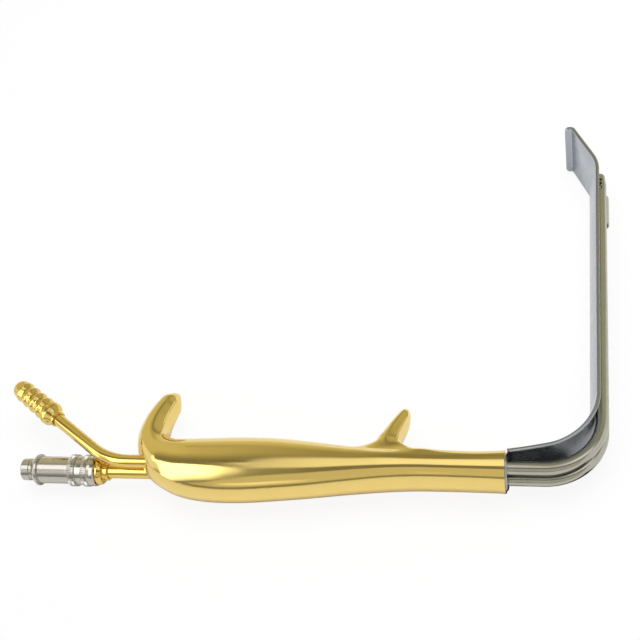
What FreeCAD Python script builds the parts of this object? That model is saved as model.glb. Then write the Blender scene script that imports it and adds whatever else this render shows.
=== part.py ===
import FreeCAD
import Part

import math
import os

# Fiber optic retractor: a hollow plated handle with a palm hook and a finger horn, a right-angled
# steel blade with a turned lip, and two tubes brazed along the back of the blade. One tube carries
# suction from a closed tip to a hose barb, and the other carries a fibre bundle from a screwed
# light adapter to an exit head near the end of the blade.
# Modelling frame, in millimetres: X runs along the handle towards the blade with the handle's front
# rim at 0, Y runs along the blade, and Z is across the width with the middle plane at 0.

V = FreeCAD.Vector

# Handle
handle_length = 150.0
front_height = 15.7
front_width = 20.0
grip_height = 27.2
grip_width = 25.0
shell_wall = 1.0
hook_rise = 35.2
hook_thickness = 11.4
hook_width = 14.0
horn_distance = 44.0
horn_rise = 28.4
horn_thickness = 8.0
horn_width = 13.0

# Blade
blade_width = 30.0
blade_root_width = 19.6
blade_thickness = 1.6
blade_crown = 2.7
blade_root_crown = 0.9
blade_reach = 35.4
blade_root_rise = 4.0
blade_root_slope = 8.0
blade_bend_radius = 22.0
blade_straight_end = 147.2
tip_width = 28.0
tip_slope = 29.5
tip_bend_radius = 20.0
tip_length = 17.4
lip_turn = 70.0
lip_bend_radius = 1.6
lip_length = 2.4
edge_round = 0.5
flat_crown = 0.05

# Tang, block, plug and rivets inside the front of the handle
tang_width = 9.0
tang_length = 26.0
tang_rise = 4.6
block_length = 20.0
plug_depth = 6.0
plug_proud = 0.8
plug_edge_round = 0.35
rivet_radius = 1.1
rivet_head_radius = 1.9
rivet_length = 7.0
rivet_spacing = 9.0
tang_root_length = 3.0

# Tubes along the blade
tube_outer_radius = 2.65
tube_wall = 0.5
tube_half_spacing = 4.4
tube_axis_drop = 0.8
tube_bend_radius = 22.0
tube_back_gap = 0.2
front_tube_inside = 40.0
suction_tube_end = 140.0
suction_tip_end = 151.9
suction_tip_radius = 2.2
suction_hole_radius = 0.9
suction_hole_pitch = 2.4
coupling_length = 14.0
coupling_wall = 0.9
braze_length = 5.0
braze_width = 1.6
braze_margin = 8.0
braze_count = 4

# Light exit head
head_start = 129.0
head_end = 146.0
head_radius = 3.3
head_offset = 0.5
head_edge_round = 1.4
window_thickness = 1.0
window_seat = 0.35

# Rear suction tube and hose barb
rear_tube_rise = 35.5
rear_tube_bend_radius = 30.0
rear_tube_run = 3.4
rear_tube_tail = 30.5
barb_length = 32.0
barb_ridge_radius = 4.35
barb_root_radius = 3.3
barb_collar_radius = 4.75
barb_nose_radius = 2.8
barb_ridge_count = 4
barb_socket_depth = 6.0
barb_bore_radius = 1.8
barb_flange_radius = 3.4
barb_flange_length = 1.2
barb_collar_place = 7.0

# Light post at the rear of the handle
post_outer_radius = 3.0
post_wall = 0.5
post_inside = 18.0
post_length = 21.0
collar_length = 3.6
collar_radius = 5.6
collar_step_radius = 3.9
collar_step_length = 0.8
nipple_radius = 5.2
nipple_length = 4.2
bundle_radius = 2.0
ferrule_length = 25.0
sleeve_wall = 0.5
rear_bush_length = 9.0

# Light adapters, each a body pulled on by its own captive knurled ring
ring_radius = 6.75
ring_smooth_radius = 6.5
knurl_count = 40
knurl_depth = 0.3
inner_knurl_length = 2.8
inner_ring_length = 5.6
inner_ring_lip = 1.1
inner_neck_radius = 4.55
inner_shoulder_length = 0.8
inner_band_radius = 6.2
inner_band_length = 2.45
spigot_radius = 4.95
spigot_length = 1.6
outer_ring_length = 3.1
outer_ring_lip = 0.95
outer_neck_radius = 4.2
outer_shoulder_radius = 4.85
outer_shoulder_length = 0.55
barrel_radius = 5.55
barrel_length = 14.5
flange_radius = 6.64
flange_length = 2.2
flange_land = 0.9
groove_radius = 4.2
groove_length = 1.7
nose_radius = 4.67
nose_length = 4.1
nose_chamfer = 0.4
inner_rod_radius = 2.2
outer_rod_radius = 2.8
rod_recess = 1.0

# Fits
running_fit = 0.06
seat_fit = 0.04
end_gap = 0.1

# Places worked out from the sizes above
tube_y = -tube_axis_drop
tube_back = blade_reach - blade_crown + blade_thickness / 2
tube_crown_share = (2 * tube_half_spacing / blade_width) ** 2
tube_x = tube_back + blade_crown * tube_crown_share + tube_back_gap + tube_outer_radius
bundle_bore = tube_outer_radius - tube_wall
suction_z = tube_half_spacing
light_z = -tube_half_spacing
post_end = -handle_length - post_length
nipple_end = post_end - nipple_length

# Shape of the handle from the front rim to the heel: place along the length, rise of the centre,
# tilt in degrees, and how far height and width have grown from the front's to the grip's
GRIP_ROWS = [
    (0.000, -0.15, 0.0, 0.00, 0.00),
    (0.060, -0.35, 0.0, -0.07, -0.04),
    (0.150, -0.45, 0.0, -0.11, -0.04),
    (0.240, -0.40, 0.0, -0.08, 0.02),
    (0.320, -0.55, 0.0, 0.04, 0.14),
    (0.430, -0.85, 0.0, 0.32, 0.32),
    (0.520, -0.95, 0.0, 0.62, 0.56),
    (0.610, -1.05, 0.0, 0.86, 0.80),
    (0.700, -1.50, 0.0, 1.00, 0.96),
    (0.790, -1.90, 0.0, 0.97, 1.00),
    (0.865, -1.10, 10.0, 0.79, 0.88),
    (0.925, 1.40, 30.0, 0.47, 0.42),
]

# Shape of the hook from the heel to its tip: place along the handle's length, share of the hook's
# rise, tilt in degrees, and shares of the hook's thickness and width
HOOK_ROWS = [
    (0.967, 0.185, 55.0, 1.45, 1.32),
    (0.987, 0.369, 80.0, 1.16, 1.12),
    (0.985, 0.568, 96.0, 1.00, 1.00),
    (0.970, 0.767, 112.0, 0.84, 0.88),
    (0.957, 0.881, 117.0, 0.68, 0.74),
    (0.949, 0.949, 120.0, 0.46, 0.52),
    (0.944, 0.988, 120.0, 0.12, 0.15),
]

# Shape of the horn from inside the handle to its tip: share of the rise, offset along the handle
# from the horn's place, and shares of its thickness and width
HORN_ROWS = [
    (0.10, -3.0, 2.60, 0.96),
    (0.26, -3.4, 2.20, 1.00),
    (0.36, -3.9, 1.58, 1.02),
    (0.44, -3.3, 1.24, 1.02),
    (0.53, -2.2, 1.00, 1.00),
    (0.64, -0.9, 0.88, 0.94),
    (0.77, 0.7, 0.74, 0.83),
    (0.88, 1.9, 0.56, 0.66),
    (0.96, 2.3, 0.32, 0.42),
    (0.995, 2.4, 0.08, 0.12),
]


def closed_spline(points):
    """A smooth closed wire through points."""
    curve = Part.BSplineCurve()
    curve.interpolate(Points=points, PeriodicFlag=True)
    return Part.Wire([curve.toShape()])


def oval(centre, tilt, half_height, half_width, count=16):
    """An oval wire across a spine that climbs by tilt degrees towards the rear."""
    up = V(math.sin(math.radians(tilt)), math.cos(math.radians(tilt)), 0)
    points = []
    for step in range(count):
        turn = 2 * math.pi * step / count
        offset = up * (half_height * math.sin(turn)) + V(0, 0, half_width * math.cos(turn))
        points.append(centre + offset)
    return closed_spline(points)


def handle_ovals(inset, with_hook):
    """The handle's cross sections, each drawn in by inset all round."""
    wires = []
    for along, rise, tilt, height_growth, width_growth in GRIP_ROWS:
        half_height = (front_height + height_growth * (grip_height - front_height)) / 2 - inset
        half_width = (front_width + width_growth * (grip_width - front_width)) / 2 - inset
        wires.append(oval(V(-along * handle_length, rise, 0), tilt, half_height, half_width))
    if with_hook:
        for along, rise, tilt, thickness_share, width_share in HOOK_ROWS:
            half_height = hook_thickness * thickness_share / 2
            half_width = hook_width * width_share / 2
            centre = V(-along * handle_length, rise * hook_rise, 0)
            wires.append(oval(centre, tilt, half_height, half_width))
    return wires


def horn_solid():
    """The finger horn, rooted inside the handle."""
    wires = []
    for rise, offset, thickness_share, width_share in HORN_ROWS:
        centre = V(-horn_distance + offset, rise * horn_rise, 0)
        half_thickness = horn_thickness * thickness_share / 2
        half_width = horn_width * width_share / 2
        wires.append(oval(centre, 90.0, half_thickness, half_width))
    return Part.makeLoft(wires, True, False)


def handle_outside():
    """The handle with its hook and horn as one outside form."""
    body = Part.makeLoft(handle_ovals(0.0, True), True, False)
    return body.fuse(horn_solid())


def handle_inside(clearance):
    """The space inside the shells, drawn in by clearance."""
    return Part.makeLoft(handle_ovals(shell_wall + clearance, False), True, False)


def slab(x_low, x_high):
    """A large block between two places along the handle."""
    reach = 4 * grip_height
    return Part.makeBox(x_high - x_low, reach, reach, V(x_low, -reach / 2, -reach / 2))


def rod(radius, x_low, x_high, z, y=None):
    """A round rod along X at the tubes' height."""
    height = tube_y if y is None else y
    return Part.makeCylinder(radius, x_high - x_low, V(x_low, height, z), V(1, 0, 0))


def bent_rod(radius, start, heading, legs):
    """A round rod in a plane of constant Z: each leg is a straight length, a turn and its radius."""
    solids = []
    point = start
    angle = math.radians(heading)
    for length, turn, bend in legs:
        direction = V(math.cos(angle), math.sin(angle), 0)
        if length > 0:
            solids.append(Part.makeCylinder(radius, length, point, direction))
            point = point + direction * length
        if turn:
            side = math.copysign(1.0, turn)
            centre = point + V(-math.sin(angle), math.cos(angle), 0) * (bend * side)
            disc = Part.Face(Part.Wire([Part.makeCircle(radius, point, direction)]))
            solids.append(disc.revolve(centre, V(0, 0, 1), turn))
            spin = FreeCAD.Rotation(V(0, 0, 1), turn)
            point = centre + spin.multVec(point - centre)
            angle += math.radians(turn)
    return solids[0].multiFuse(solids[1:]).removeSplitter() if len(solids) > 1 else solids[0]


def front_route(radius, x_start, y_end, z):
    """A rod that runs forward from the handle and turns up along the blade."""
    run = tube_x - tube_bend_radius - x_start
    climb = y_end - tube_y - tube_bend_radius
    legs = [(run, 90.0, tube_bend_radius), (climb, 0.0, 0.0)]
    return bent_rod(radius, V(x_start, tube_y, z), 0.0, legs)


def rear_route(radius, x_start, tail):
    """A rod that runs back from inside the handle and turns up towards the hose barb."""
    run = x_start + handle_length + rear_tube_run
    legs = [(run, -rear_tube_rise, rear_tube_bend_radius), (tail, 0.0, 0.0)]
    return bent_rod(radius, V(x_start, tube_y, suction_z), 180.0, legs)


def revolved(profile, axis_point, axis):
    """A solid of revolution from (place, radius) points, with its axis along X before placing."""
    points = [V(place, radius, 0) for place, radius in profile]
    points.append(points[0])
    face = Part.Face(Part.makePolygon(points))
    solid = face.revolve(V(0, 0, 0), V(1, 0, 0), 360.0)
    turn = FreeCAD.Rotation(V(1, 0, 0), axis)
    solid.Placement = FreeCAD.Placement(axis_point, turn)
    return solid


def blade_frames():
    """Groups of points along the blade's edge line, with the heading and distance at each."""
    slope = math.radians(blade_root_slope)
    bend_start = blade_reach - blade_bend_radius * (1 - math.sin(slope))
    root_run = (bend_start - plug_proud) / math.cos(slope)
    bend_top = (blade_root_rise + root_run * math.sin(slope)
                + blade_bend_radius * math.cos(slope))
    groups = [
        [("line", root_run, 0.0, 4), ("turn", blade_bend_radius, 90.0 - blade_root_slope, 8)],
        [("line", blade_straight_end - bend_top, 0.0, 1)],
        [("turn", tip_bend_radius, tip_slope, 4), ("line", tip_length, 0.0, 6)],
        [("turn", lip_bend_radius, lip_turn, 4), ("line", lip_length, 0.0, 4)],
    ]
    point = V(plug_proud, blade_root_rise, 0)
    heading = slope
    travelled = 0.0
    frames = []
    marks = [0.0]
    for legs in groups:
        stretch = [(point, heading, travelled)]
        for kind, size, turn, steps in legs:
            for _ in range(steps):
                if kind == "line":
                    length = size / steps
                    point = point + V(math.cos(heading), math.sin(heading), 0) * length
                else:
                    change = math.radians(turn) / steps
                    centre = point + V(-math.sin(heading), math.cos(heading), 0) * size
                    spin = FreeCAD.Rotation(V(0, 0, 1), math.degrees(change))
                    point = centre + spin.multVec(point - centre)
                    heading += change
                    length = size * change
                travelled += length
                stretch.append((point, heading, travelled))
        frames.append(stretch)
        marks.append(travelled)
    return frames, marks


def eased(value, low, high):
    """A smooth step from 0 at low to 1 at high."""
    share = min(max((value - low) / (high - low), 0.0), 1.0)
    return share * share * (3 - 2 * share)


def blade_section(point, heading, width, crown):
    """A crowned strip section across the blade, with rounded edges."""
    inward = V(-math.sin(heading), math.cos(heading), 0)
    half = width / 2 - edge_round
    skin = blade_thickness / 2

    def at(across, depth):
        return point + inward * depth + V(0, 0, across)

    inner = Part.Arc(at(-half, skin), at(0, crown + skin), at(half, skin))
    near = Part.Arc(at(half, skin), at(half + edge_round, 0), at(half, -skin))
    outer = Part.Arc(at(half, -skin), at(0, crown - skin), at(-half, -skin))
    far = Part.Arc(at(-half, -skin), at(-half - edge_round, 0), at(-half, skin))
    return Part.Wire([arc.toShape() for arc in (inner, near, outer, far)])


def blade_solid():
    """The blade and its tang, with the rivet holes."""
    frames, marks = blade_frames()
    root_end, straight_end, slope_end, lip_end = marks[1:]
    stretches = []
    for stretch in frames:
        wires = []
        for point, heading, travelled in stretch:
            grown = eased(travelled, 0.0, root_end)
            narrowed = eased(travelled, straight_end, lip_end)
            flattened = eased(travelled, straight_end, slope_end)
            width = blade_root_width + grown * (blade_width - blade_root_width)
            width -= narrowed * (blade_width - tip_width)
            crown = blade_root_crown + grown * (blade_crown - blade_root_crown)
            crown -= flattened * (blade_crown - flat_crown)
            wires.append(blade_section(point, heading, width, crown))
        stretches.append(Part.makeLoft(wires, True, len(wires) == 2))
    strip = stretches[0].multiFuse(stretches[1:] + [tang(0.0)])
    return strip.cut(rivets(seat_fit)).removeSplitter()


def tang(clearance):
    """The flat tang behind the blade's root, grown by clearance for its slot."""
    thickness = blade_thickness + 2 * clearance
    width = tang_width + 2 * clearance
    length = tang_length + tang_root_length + clearance
    corner = V(plug_proud - tang_length - clearance, tang_rise - thickness / 2, -width / 2)
    return Part.makeBox(length, thickness, width, corner)


def rivets(clearance):
    """Two countersunk rivets through the tang and into the block."""
    top = tang_rise + blade_thickness / 2
    first = -plug_depth - block_length / 2 + rivet_spacing / 2
    solids = []
    for index in range(2):
        x = first - index * rivet_spacing
        head = Part.makeCone(rivet_head_radius + clearance, rivet_radius + clearance,
                             blade_thickness / 2, V(x, top, 0), V(0, -1, 0))
        shank = Part.makeCylinder(rivet_radius + clearance, rivet_length + clearance,
                                  V(x, top, 0), V(0, -1, 0))
        solids.append(head.fuse(shank).removeSplitter())
    return Part.makeCompound(solids)


def handle_shells():
    """The two half shells, split at the middle plane, with holes for the rear tubes."""
    form = handle_outside().cut(handle_inside(0.0))
    x_front = -handle_length * 0.8
    suction_hole = rod(tube_outer_radius + seat_fit, -handle_length * 1.1, x_front, suction_z)
    light_hole = rod(post_outer_radius + seat_fit, -handle_length * 1.1, x_front, light_z)
    form = form.cut(suction_hole.fuse(light_hole))
    reach = 2 * handle_length
    upper_box = Part.makeBox(reach, reach, reach, V(-1.5 * handle_length, -reach / 2, 0))
    lower_box = Part.makeBox(reach, reach, reach, V(-1.5 * handle_length, -reach / 2, -reach))
    return form.common(upper_box), form.common(lower_box)


def tube_bores(x_low, x_high, rear):
    """The two holes that the tubes pass through inside the handle."""
    light_radius = post_outer_radius if rear else tube_outer_radius
    suction = rod(tube_outer_radius + seat_fit, x_low, x_high, suction_z)
    light = rod(light_radius + seat_fit, x_low, x_high, light_z)
    return suction.fuse(light)


def front_plug():
    """The steel end plug, standing proud of the rim, with the tubes and tang through it."""
    inner = handle_inside(seat_fit).common(slab(-plug_depth, 0.0))
    _, rise, tilt, _, _ = GRIP_ROWS[0]
    half_height = front_height / 2 - shell_wall - seat_fit
    half_width = front_width / 2 - shell_wall - seat_fit
    rim = oval(V(0, rise, 0), tilt, half_height, half_width)
    face = Part.Face(rim).extrude(V(plug_proud - plug_edge_round, 0, 0))
    edge_wires = [
        oval(V(plug_proud - plug_edge_round, rise, 0), tilt, half_height, half_width),
        oval(V(plug_proud, rise, 0), tilt, half_height - plug_edge_round,
             half_width - plug_edge_round),
    ]
    edge = Part.makeLoft(edge_wires, True, False)
    plug = inner.fuse(face).fuse(edge)
    plug = plug.cut(tube_bores(-2 * plug_depth, 2 * plug_depth, False))
    return plug.cut(tang(seat_fit))


def tang_block():
    """The block behind the plug that the tang is riveted to."""
    block = handle_inside(seat_fit).common(slab(-plug_depth - block_length, -plug_depth))
    block = block.cut(tube_bores(-handle_length, 0.0, False))
    return block.cut(tang(seat_fit)).cut(rivets(seat_fit))


def rear_bush():
    """The bush in the heel that carries both rear tubes."""
    x_low = -handle_length * 0.915
    bush = handle_inside(seat_fit).common(slab(x_low, x_low + rear_bush_length))
    return bush.cut(tube_bores(-handle_length, 0.0, True))


def suction_tube_front():
    """The steel suction tube along the blade."""
    outside = front_route(tube_outer_radius, -front_tube_inside, suction_tube_end, suction_z)
    return outside.cut(front_route(bundle_bore, -front_tube_inside, suction_tube_end, suction_z))


def suction_tip():
    """The closed tip of the suction tube, with rows of inlet holes."""
    start = suction_tube_end
    length = suction_tip_end - start
    shoulder = length * 0.45
    dome = suction_tip_radius
    profile = [(-barb_socket_depth / 2, 0.0), (-barb_socket_depth / 2, bundle_bore - seat_fit),
               (0.0, bundle_bore - seat_fit), (0.0, tube_outer_radius),
               (shoulder, tube_outer_radius)]
    for step in range(7):
        turn = math.radians(15.0 * step)
        profile.append((length - dome + dome * math.sin(turn), dome * math.cos(turn)))
    profile[-1] = (length, 0.0)
    origin = V(tube_x, start, suction_z)
    tip = revolved(profile, origin, V(0, 1, 0))
    bore = Part.makeCylinder(barb_bore_radius, length - dome + barb_socket_depth / 2,
                             V(tube_x, start - barb_socket_depth / 2, suction_z), V(0, 1, 0))
    tip = tip.cut(bore)
    reach = 2 * tube_outer_radius
    for row in range(3):
        y = start + suction_hole_pitch * (row + 0.8)
        tip = tip.cut(Part.makeCylinder(suction_hole_radius, reach, V(tube_x, y, suction_z),
                                        V(1, 0, 0)))
        tip = tip.cut(Part.makeCylinder(suction_hole_radius, 2 * reach,
                                        V(tube_x, y, suction_z - reach), V(0, 0, 1)))
    return tip


def suction_coupling():
    """The sleeve that joins the steel and the plated suction tubes inside the handle."""
    x_low = -front_tube_inside - coupling_length / 2
    x_high = x_low + coupling_length
    outside = rod(tube_outer_radius + coupling_wall, x_low, x_high, suction_z)
    return outside.cut(rod(tube_outer_radius + seat_fit, x_low, x_high, suction_z))


def suction_tube_rear():
    """The plated suction tube from the coupling to the hose barb."""
    x_start = -front_tube_inside
    outside = rear_route(tube_outer_radius, x_start, rear_tube_tail)
    return outside.cut(rear_route(bundle_bore, x_start, rear_tube_tail))


def barb_base():
    """The point and direction where the barb's flange starts on the rear tube."""
    angle = math.radians(rear_tube_rise)
    corner = V(-handle_length - rear_tube_run, tube_y, suction_z)
    bend_end = corner + V(-math.sin(angle), 1 - math.cos(angle), 0) * rear_tube_bend_radius
    direction = V(-math.cos(angle), math.sin(angle), 0)
    return bend_end + direction * (rear_tube_tail - barb_socket_depth), direction


def hose_barb():
    """The ridged hose barb, socketed on the rear tube."""
    base, direction = barb_base()
    ridge_start = barb_collar_place + 2.0
    pitch = (barb_length - ridge_start - barb_nose_radius) / barb_ridge_count
    socket = tube_outer_radius + seat_fit
    profile = [(0.0, socket), (0.0, barb_flange_radius),
               (barb_flange_length, barb_flange_radius),
               (barb_flange_length, barb_root_radius),
               (barb_collar_place - 1.2, barb_collar_radius),
               (barb_collar_place + 0.6, barb_collar_radius),
               (ridge_start, barb_root_radius)]
    for index in range(barb_ridge_count):
        start = ridge_start + index * pitch
        narrow = (barb_ridge_radius - barb_root_radius) * 0.35 * index / barb_ridge_count
        profile.append((start + 0.25 * pitch, barb_ridge_radius - narrow))
        profile.append((start + 0.50 * pitch, barb_ridge_radius - narrow))
        profile.append((start + pitch, barb_root_radius))
    profile.append((barb_length - 0.8, barb_nose_radius + 0.2))
    profile.append((barb_length, barb_nose_radius - 0.5))
    profile.append((barb_length, barb_bore_radius))
    profile.append((barb_socket_depth + seat_fit, barb_bore_radius))
    profile.append((barb_socket_depth + seat_fit, socket))
    return revolved(profile, base, direction)


def light_guide_tube():
    """The steel sheath of the fibre bundle along the blade."""
    top = head_end - window_thickness - seat_fit
    outside = front_route(tube_outer_radius, -front_tube_inside, top, light_z)
    return outside.cut(front_route(bundle_bore, -front_tube_inside, top, light_z))


def light_exit_head():
    """The housing on the end of the light tube that holds the exit window."""
    head_x = tube_x + head_offset
    head = Part.makeCylinder(head_radius, head_end - head_start, V(head_x, head_start, light_z),
                             V(0, 1, 0))
    top_edges = [edge for edge in head.Edges
                 if edge.BoundBox.YMin > head_end - 0.01 and edge.Curve.TypeId == "Part::GeomCircle"]
    head = head.makeFillet(min(head_edge_round, 0.45 * head_radius), top_edges)
    bore = Part.makeCylinder(tube_outer_radius + seat_fit, head_end - window_thickness - head_start,
                             V(tube_x, head_start, light_z), V(0, 1, 0))
    opening = Part.makeCylinder(bundle_bore, head_end - head_start, V(tube_x, head_start, light_z),
                                V(0, 1, 0))
    return head.cut(bore).cut(opening)


def light_exit_window():
    """The clear window over the end of the fibre bundle."""
    return Part.makeCylinder(bundle_bore - seat_fit, window_thickness - window_seat,
                             V(tube_x, head_end - window_thickness, light_z), V(0, 1, 0))


def fibre_bundle():
    """The glass fibre bundle from the adapter end of the post to the exit window."""
    top = head_end - window_thickness - seat_fit
    return front_route(bundle_radius, nipple_end, top, light_z)


def bundle_sleeve():
    """The soft sleeve over the bundle between the two metal tubes inside the handle."""
    x_low = -handle_length + post_inside + seat_fit
    x_high = -front_tube_inside - seat_fit
    outside = rod(bundle_radius + seat_fit + sleeve_wall, x_low, x_high, light_z)
    return outside.cut(rod(bundle_radius + seat_fit, x_low, x_high, light_z))


def light_post_tube():
    """The plated tube that carries the bundle out of the rear of the handle."""
    x_low = post_end + collar_length
    x_high = -handle_length + post_inside
    outside = rod(post_outer_radius, x_low, x_high, light_z)
    return outside.cut(rod(post_outer_radius - post_wall, x_low, x_high, light_z))


def light_post_collar():
    """The flared collar on the post, with the threaded nipple for the first adapter."""
    socket = post_outer_radius + seat_fit
    bore = post_outer_radius - post_wall
    flare_end = post_end + collar_length
    step_end = flare_end + collar_step_length
    profile = [(nipple_end, bore), (nipple_end, nipple_radius - 0.3),
               (nipple_end + 0.3, nipple_radius), (post_end, nipple_radius),
               (post_end, collar_radius), (post_end + 0.8, collar_radius),
               (flare_end, collar_step_radius + 0.7), (flare_end, collar_step_radius),
               (step_end, collar_step_radius), (step_end, socket),
               (flare_end - seat_fit, socket), (flare_end - seat_fit, bore)]
    return revolved(profile, V(0, tube_y, light_z), V(1, 0, 0))


def bundle_ferrule():
    """The thin sleeve that clamps the bundle's polished end inside the post."""
    bore = post_outer_radius - post_wall
    outside = rod(bore - seat_fit, nipple_end, nipple_end + ferrule_length, light_z)
    return outside.cut(rod(bundle_radius + seat_fit, nipple_end, nipple_end + ferrule_length,
                           light_z))


def knurled_band(radius, x_low, x_high):
    """A straight-knurled band as an extruded star."""
    points = []
    for tooth in range(knurl_count):
        for half in range(2):
            turn = 2 * math.pi * (tooth + half / 2) / knurl_count
            reach = radius - half * knurl_depth
            points.append(V(x_low, tube_y + reach * math.cos(turn),
                            light_z + reach * math.sin(turn)))
    points.append(points[0])
    return Part.Face(Part.makePolygon(points)).extrude(V(x_high - x_low, 0, 0))


def inner_adapter_body():
    """The first adapter: shoulder and neck inside its ring, visible band and threaded spigot."""
    face = nipple_end - end_gap
    neck = face - inner_shoulder_length
    band = neck - end_gap - inner_ring_lip - end_gap
    spigot = band - inner_band_length
    end = spigot - spigot_length
    bore = inner_rod_radius + seat_fit
    profile = [(face, bore), (face, nipple_radius), (neck, nipple_radius),
               (neck, inner_neck_radius), (band, inner_neck_radius), (band, inner_band_radius),
               (spigot, inner_band_radius), (spigot, spigot_radius), (end + 0.2, spigot_radius),
               (end, spigot_radius - 0.2), (end, bore)]
    return revolved(profile, V(0, tube_y, light_z), V(1, 0, 0))


def inner_places():
    """Places along the first adapter: its shoulder face, ring start, band start and free end."""
    face = nipple_end - end_gap
    ring = face - inner_shoulder_length - end_gap - inner_ring_lip
    band = ring - end_gap
    end = band - inner_band_length - spigot_length
    return face, ring, band, end


def inner_coupling_ring():
    """The captive knurled ring that screws the first adapter to the post."""
    _, start, _, _ = inner_places()
    knurl_end = start + inner_knurl_length
    end = start + inner_ring_length
    lip = rod(inner_neck_radius + running_fit, start, end, light_z)
    thread = rod(nipple_radius + running_fit, start + inner_ring_lip, end, light_z)
    ring = knurled_band(ring_radius, start, knurl_end)
    ring = ring.fuse(rod(ring_smooth_radius, knurl_end, end, light_z))
    return ring.cut(lip).cut(thread)


def inner_light_rod():
    """The glass rod inside the first adapter."""
    face, _, _, end = inner_places()
    return rod(inner_rod_radius, end, face, light_z)


def outer_places():
    """Places along the second adapter: its face, ring start, barrel end and nose end."""
    _, _, _, inner_end = inner_places()
    face = inner_end - end_gap
    ring = face - outer_shoulder_length - end_gap - outer_ring_lip
    barrel = ring - end_gap
    nose = barrel - barrel_length - flange_length - groove_length - nose_length
    return face, ring, barrel, nose


def outer_adapter_body():
    """The second adapter: shoulder, neck, barrel, flange, groove and the nose for the light cable."""
    face, ring, barrel, nose = outer_places()
    neck = face - outer_shoulder_length
    flange = barrel - barrel_length
    groove = flange - flange_length
    nose_start = groove - groove_length
    bore = outer_rod_radius + seat_fit
    profile = [(face, bore), (face, outer_shoulder_radius), (neck, outer_shoulder_radius),
               (neck, outer_neck_radius), (barrel, outer_neck_radius), (barrel, barrel_radius),
               (flange, barrel_radius), (flange, flange_radius),
               (flange - flange_land, flange_radius), (groove, nose_radius + 0.2),
               (groove, groove_radius), (nose_start, groove_radius),
               (nose_start, nose_radius), (nose + nose_chamfer, nose_radius),
               (nose, nose_radius - nose_chamfer), (nose, bore)]
    return revolved(profile, V(0, tube_y, light_z), V(1, 0, 0))


def outer_coupling_ring():
    """The captive knurled ring that screws the second adapter to the first."""
    _, start, _, _ = outer_places()
    end = start + outer_ring_length
    ring = knurled_band(ring_radius, start, end)
    ring = ring.cut(rod(outer_neck_radius + running_fit, start, end, light_z))
    return ring.cut(rod(spigot_radius + running_fit, start + outer_ring_lip, end, light_z))


def outer_light_rod():
    """The glass rod inside the second adapter, set back from the nose."""
    face, _, _, nose = outer_places()
    return rod(outer_rod_radius, nose + rod_recess, face, light_z)


def braze_beads(blade):
    """Short braze beads between the tubes and the back of the blade."""
    beads = []
    first = tube_y + tube_bend_radius + braze_margin
    last = head_start - braze_margin - braze_length
    low_x = tube_back - blade_thickness / 2
    for index in range(braze_count):
        y = first + index * (last - first) / (braze_count - 1)
        for z in (suction_z, light_z):
            bead = Part.makeBox(tube_x - low_x, braze_length, braze_width,
                                V(low_x, y, z - braze_width / 2))
            tube = Part.makeCylinder(tube_outer_radius, 2 * braze_length,
                                     V(tube_x, y - braze_length / 2, z), V(0, 1, 0))
            bead = bead.cut(tube).cut(blade)
            beads.append(max(bead.Solids, key=lambda solid: solid.CenterOfMass.x))
    return Part.makeCompound(beads)


def build_all():
    """Every piece by its node's name, in the modelling frame."""
    blade = blade_solid()
    upper_shell, lower_shell = handle_shells()
    return {
        "handle_shell_left": upper_shell,
        "handle_shell_right": lower_shell,
        "front_plug": front_plug(),
        "tang_block": tang_block(),
        "tang_rivets": rivets(0.0),
        "rear_bush": rear_bush(),
        "blade": blade,
        "braze_beads": braze_beads(blade),
        "suction_tube_front": suction_tube_front(),
        "suction_tip": suction_tip(),
        "suction_coupling": suction_coupling(),
        "suction_tube_rear": suction_tube_rear(),
        "hose_barb": hose_barb(),
        "light_guide_tube": light_guide_tube(),
        "light_exit_head": light_exit_head(),
        "light_exit_window": light_exit_window(),
        "fibre_bundle": fibre_bundle(),
        "bundle_sleeve": bundle_sleeve(),
        "light_post_tube": light_post_tube(),
        "light_post_collar": light_post_collar(),
        "bundle_ferrule": bundle_ferrule(),
        "inner_adapter_body": inner_adapter_body(),
        "inner_coupling_ring": inner_coupling_ring(),
        "inner_light_rod": inner_light_rod(),
        "outer_adapter_body": outer_adapter_body(),
        "outer_coupling_ring": outer_coupling_ring(),
        "outer_light_rod": outer_light_rod(),
    }


def resting_shift(shapes):
    """The move that puts the origin at the bottom centre of the whole part's box."""
    box = FreeCAD.BoundBox()
    for shape in shapes.values():
        box.add(shape.optimalBoundingBox(False, False))
    return V(-(box.XMin + box.XMax) / 2, -(box.YMin + box.YMax) / 2, -box.ZMin)


shapes = build_all()
shift = resting_shift(shapes)
os.makedirs("parts", exist_ok=True)
for name, shape in shapes.items():
    placed = shape.copy()
    placed.translate(shift)
    placed.exportStep("parts/" + name + ".step")
    print(name, "solids", len(placed.Solids), "valid", placed.isValid(),
          "volume", round(placed.Volume, 2))
print("shift", round(shift.x, 4), round(shift.y, 4), round(shift.z, 4))
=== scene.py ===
"""Looks of a fiber optic retractor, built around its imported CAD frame.

Sizes are in millimetres along the maker's own axes: X along the handle with its front rim at 0, Y
along the blade, and Z across the width with the middle plane at 0.
"""
import logging
import math
from dataclasses import dataclass
from enum import Enum
from itertools import accumulate
from typing import Sequence

import bmesh
import bpy
from bmesh.types import BMesh, BMLayerItem, BMVert
from bpy.types import Material, Node, NodeSocket, NodeTree, Object
from mathutils import Matrix, Vector


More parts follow.
